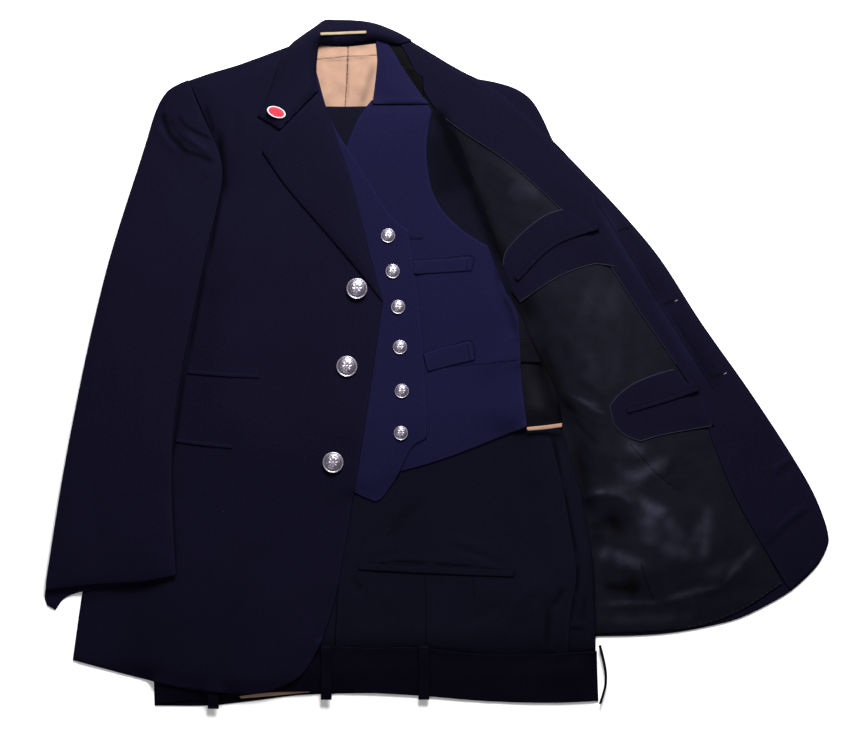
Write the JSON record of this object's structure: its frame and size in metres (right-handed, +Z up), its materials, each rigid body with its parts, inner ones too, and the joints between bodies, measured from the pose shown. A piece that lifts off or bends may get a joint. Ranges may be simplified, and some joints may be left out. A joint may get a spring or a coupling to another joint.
{
  "type": "railroad conductor uniform",
  "caption": "Railroad conductor uniform laid flat: a dark blue single-breasted coat with its left front thrown open, a buttoned waistcoat inside it and folded trousers.",
  "frame": {"origin": "centre of the set's footprint, on the surface it lies on", "axes": "+Y towards the collar, +Z up out of the surface, +X towards the wearer's left, where the opened front lies"},
  "size_m": [0.862, 0.7572, 0.0309],
  "materials": {
    "coat_serge": "navy wool serge, matt with a fine twill",
    "vest_cloth": "lighter navy wool suiting, matt",
    "trouser_cloth": "black-navy wool serge, matt",
    "waistband": "black-navy wool serge, matt",
    "coat_lining": "grey-black satin with a soft sheen",
    "vest_lining": "beige cotton sateen",
    "vest_satin": "brown-black satin",
    "button_metal": "domed, silver-coloured, worn bright",
    "pin_enamel": "glossy red enamel, plain",
    "tape": "beige cotton tape"
  },
  "bodies": {
    "root": {"coat_back": "coat_serge", "coat_sleeve_left_under": "coat_serge", "coat_sleeve_left_top": "coat_serge", "coat_front_left": "coat_serge", "coat_lining_left": "coat_lining", "coat_facing_left": "coat_serge", "coat_inner_pocket_upper": "coat_serge", "coat_inner_pocket_lower": "coat_serge", "coat_inner_jets_upper": "coat_serge", "coat_inner_jets_lower": "coat_serge", "vest_back": "vest_satin", "vest_back_lining": "vest_lining", "trousers_legs": "trouser_cloth", "waistband_front": "waistband", "trousers_front_left": "trouser_cloth", "trousers_back_right": "trouser_cloth", "trousers_back_left": "trouser_cloth", "waistband_lining": "vest_lining", "waistband_back": "waistband", "belt_loop_centre": "trouser_cloth", "belt_loop_left": "trouser_cloth", "belt_loop_right": "trouser_cloth", "belt_loop_side": "trouser_cloth", "trousers_back_pocket": "trouser_cloth", "vest_side": "vest_satin", "vest_strap": "vest_satin", "vest_hem_lining": "vest_lining", "vest_front_left": "vest_cloth", "vest_yoke_left": "vest_cloth", "vest_front_right": "vest_cloth", "vest_welt_upper": "vest_cloth", "vest_welt_lower": "vest_cloth", "coat_front_right": "coat_serge", "coat_pocket_upper": "coat_serge", "coat_pocket_lower": "coat_serge", "coat_sleeve_right_under": "coat_serge", "coat_sleeve_right_top": "coat_serge", "coat_lapel": "coat_serge", "coat_collar": "coat_serge", "coat_hanger_loop": "tape", "coat_button_1": "button_metal", "coat_button_2": "button_metal", "coat_button_3": "button_metal", "vest_button_1": "button_metal", "vest_button_2": "button_metal", "vest_button_3": "button_metal", "vest_button_4": "button_metal", "vest_button_5": "button_metal", "vest_button_6": "button_metal", "coat_pin": "pin_enamel"}
  },
  "joints": []
}
